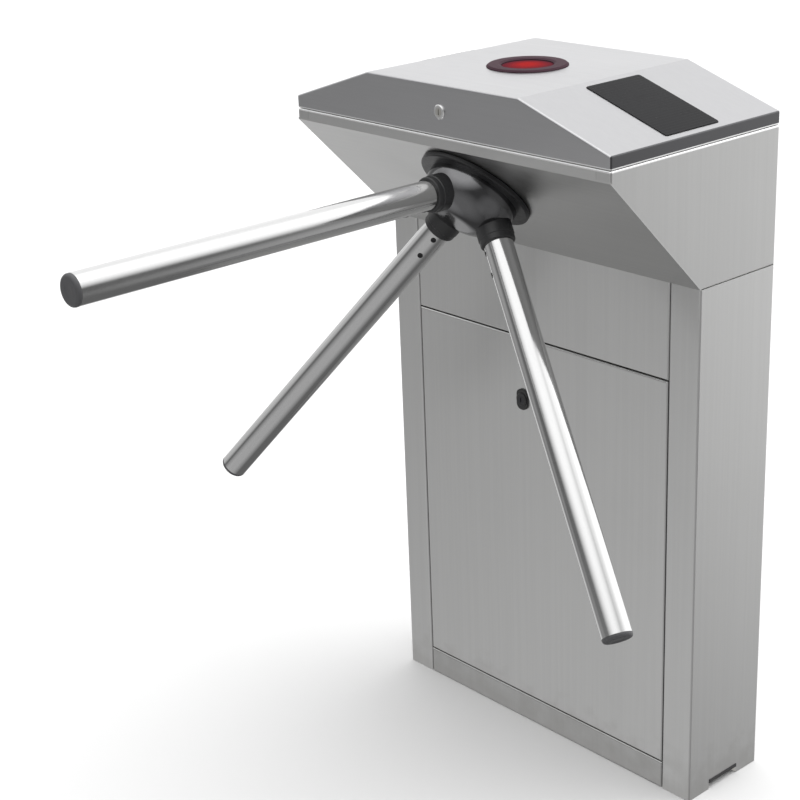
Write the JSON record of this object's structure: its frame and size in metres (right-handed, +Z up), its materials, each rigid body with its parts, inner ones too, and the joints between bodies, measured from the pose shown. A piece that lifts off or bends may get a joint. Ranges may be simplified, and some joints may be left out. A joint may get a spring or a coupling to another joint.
{
  "type": "tripod turnstile",
  "caption": "Stainless waist-high tripod turnstile with a slanted head, tubular arms on a dark hub, a hinged lid with a red lamp and dark reader windows, and a tilt-out door.",
  "frame": {"origin": "on the floor under the middle of the column, which is the middle of the anchor pattern", "axes": "+X along the wide face to the right seen from the arms' side, -Y towards the arms, +Z up"},
  "size_m": [0.7752, 0.8648, 0.98],
  "materials": {
    "stainless_sheet": "satin",
    "arm_steel": "polished",
    "dark_cast_hub": "gloss",
    "black_flange": "satin",
    "black_plastic": "satin",
    "grey_plastic": "satin",
    "dark_gloss_plastic": "gloss",
    "red_lens_plastic": "gloss",
    "reader_glass": "gloss",
    "plated_steel": "satin",
    "machined_aluminium": "satin",
    "spring_steel": "satin",
    "bush_brass": "satin",
    "coil_black": "satin",
    "board_green": "satin",
    "seal_rubber": "matte"
  },
  "bodies": {
    "cabinet": {"base_plate": "plated_steel", "bearing_housing": "machined_aluminium", "column_front_panel": "stainless_sheet", "column_rear_panel": "stainless_sheet", "control_board": "board_green", "damper_body": "black_plastic", "door_sill": "stainless_sheet", "head_rear_panel": "stainless_sheet", "index_bush": "bush_brass", "index_spring": "spring_steel", "left_head_side": "stainless_sheet", "left_pillar": "stainless_sheet", "left_solenoid": "coil_black", "lid_hinge_fixed": "stainless_sheet", "lid_keeper": "plated_steel", "lid_seal": "seal_rubber", "mechanism_plate": "machined_aluminium", "mechanism_posts": "plated_steel", "position_sensor": "black_plastic", "power_supply": "machined_aluminium", "right_head_side": "stainless_sheet", "right_pillar": "stainless_sheet", "right_solenoid": "coil_black", "shaft_bearings": "plated_steel", "slant_panel": "stainless_sheet"},
    "rotor": {"hub_flange": "black_flange", "hub_dome": "dark_cast_hub", "arm_collar_1": "black_plastic", "arm_collar_2": "black_plastic", "arm_collar_3": "black_plastic", "arm_tube_1": "arm_steel", "arm_tube_2": "arm_steel", "arm_tube_3": "arm_steel", "arm_caps": "grey_plastic", "arm_screws": "plated_steel", "main_shaft": "plated_steel", "main_gear": "plated_steel", "lock_wheel": "plated_steel", "encoder_disc": "machined_aluminium", "shaft_nut": "plated_steel"},
    "centring_crank": {"index_crank": "plated_steel", "index_pinion": "plated_steel"},
    "damper_rotor": {"damper_pinion": "plated_steel"},
    "left_lock_pawl": {"left_pawl": "plated_steel"},
    "right_lock_pawl": {"right_pawl": "plated_steel"},
    "left_armature": {"left_plunger": "plated_steel"},
    "right_armature": {"right_plunger": "plated_steel"},
    "lid": {"lid_shell": "stainless_sheet", "lid_hinge_moving": "stainless_sheet", "indicator_bezel": "dark_gloss_plastic", "indicator_lens": "red_lens_plastic", "indicator_housing": "black_plastic", "reader_windows": "reader_glass", "reader_housings": "black_plastic", "lid_lock_barrel": "arm_steel"},
    "lid_lock": {"lid_lock_cam": "plated_steel"},
    "door": {"door_panel": "stainless_sheet", "door_lock_barrel": "black_plastic"},
    "door_lock": {"door_lock_cam": "plated_steel"}
  },
  "joints": [
    {"name": "rotor_turn", "type": "hinge", "parent": "cabinet", "child": "rotor", "pos_m": [0, -0.1779, 0.8369], "axis": [0, -0.7071, -0.7071], "continuous": true},
    {"name": "crank_turn", "type": "hinge", "parent": "cabinet", "child": "centring_crank", "pos_m": [0, -0.12133, 0.78033], "axis": [0, -0.7071, -0.7071], "continuous": true, "deforming": ["index_spring"]},
    {"name": "damper_turn", "type": "hinge", "parent": "cabinet", "child": "damper_rotor", "pos_m": [-0.05945, -0.14004, 0.79904], "axis": [0, -0.7071, -0.7071], "continuous": true},
    {"name": "left_pawl_pivot", "type": "hinge", "parent": "cabinet", "child": "left_lock_pawl", "pos_m": [-0.066, -0.15046, 0.92656], "axis": [0, -0.7071, -0.7071], "range_deg": [0, 9.1], "stiffness_Nm_per_rad": 0.2, "springref_deg": -22.92},
    {"name": "right_pawl_pivot", "type": "hinge", "parent": "cabinet", "child": "right_lock_pawl", "pos_m": [0.066, -0.15046, 0.92656], "axis": [0, 0.7071, 0.7071], "range_deg": [0, 9.1], "stiffness_Nm_per_rad": 0.2, "springref_deg": -22.92},
    {"name": "left_plunger_slide", "type": "slide", "parent": "cabinet", "child": "left_armature", "axis": [0, 0.7071, -0.7071], "range_m": [0, 0.00572]},
    {"name": "right_plunger_slide", "type": "slide", "parent": "cabinet", "child": "right_armature", "axis": [0, 0.7071, -0.7071], "range_m": [0, 0.00572]},
    {"name": "lid_hinge", "type": "hinge", "parent": "cabinet", "child": "lid", "pos_m": [0, 0.0776, 0.9125], "axis": [-1, 0, 0], "range_deg": [0, 75]},
    {"name": "lid_lock_turn", "type": "hinge", "parent": "lid", "child": "lid_lock", "pos_m": [0, -0.238, 0.943], "axis": [0, 1, 0], "range_deg": [-90, 0]},
    {"name": "door_tilt", "type": "hinge", "parent": "cabinet", "child": "door", "pos_m": [0, -0.066, 0.03925], "axis": [1, 0, 0], "range_deg": [0, 7]},
    {"name": "door_lock_turn", "type": "hinge", "parent": "door", "child": "door_lock", "pos_m": [-0.026, -0.073, 0.51], "axis": [0, 1, 0], "range_deg": [-90, 0]}
  ],
  "couplings": [
    {"joint": "crank_turn", "follows": "rotor_turn", "ratio": -3},
    {"joint": "damper_turn", "follows": "rotor_turn", "ratio": -3},
    {"joint": "left_plunger_slide", "follows": "left_pawl_pivot", "m_per_rad": 0.036},
    {"joint": "right_plunger_slide", "follows": "right_pawl_pivot", "m_per_rad": 0.036}
  ]
}
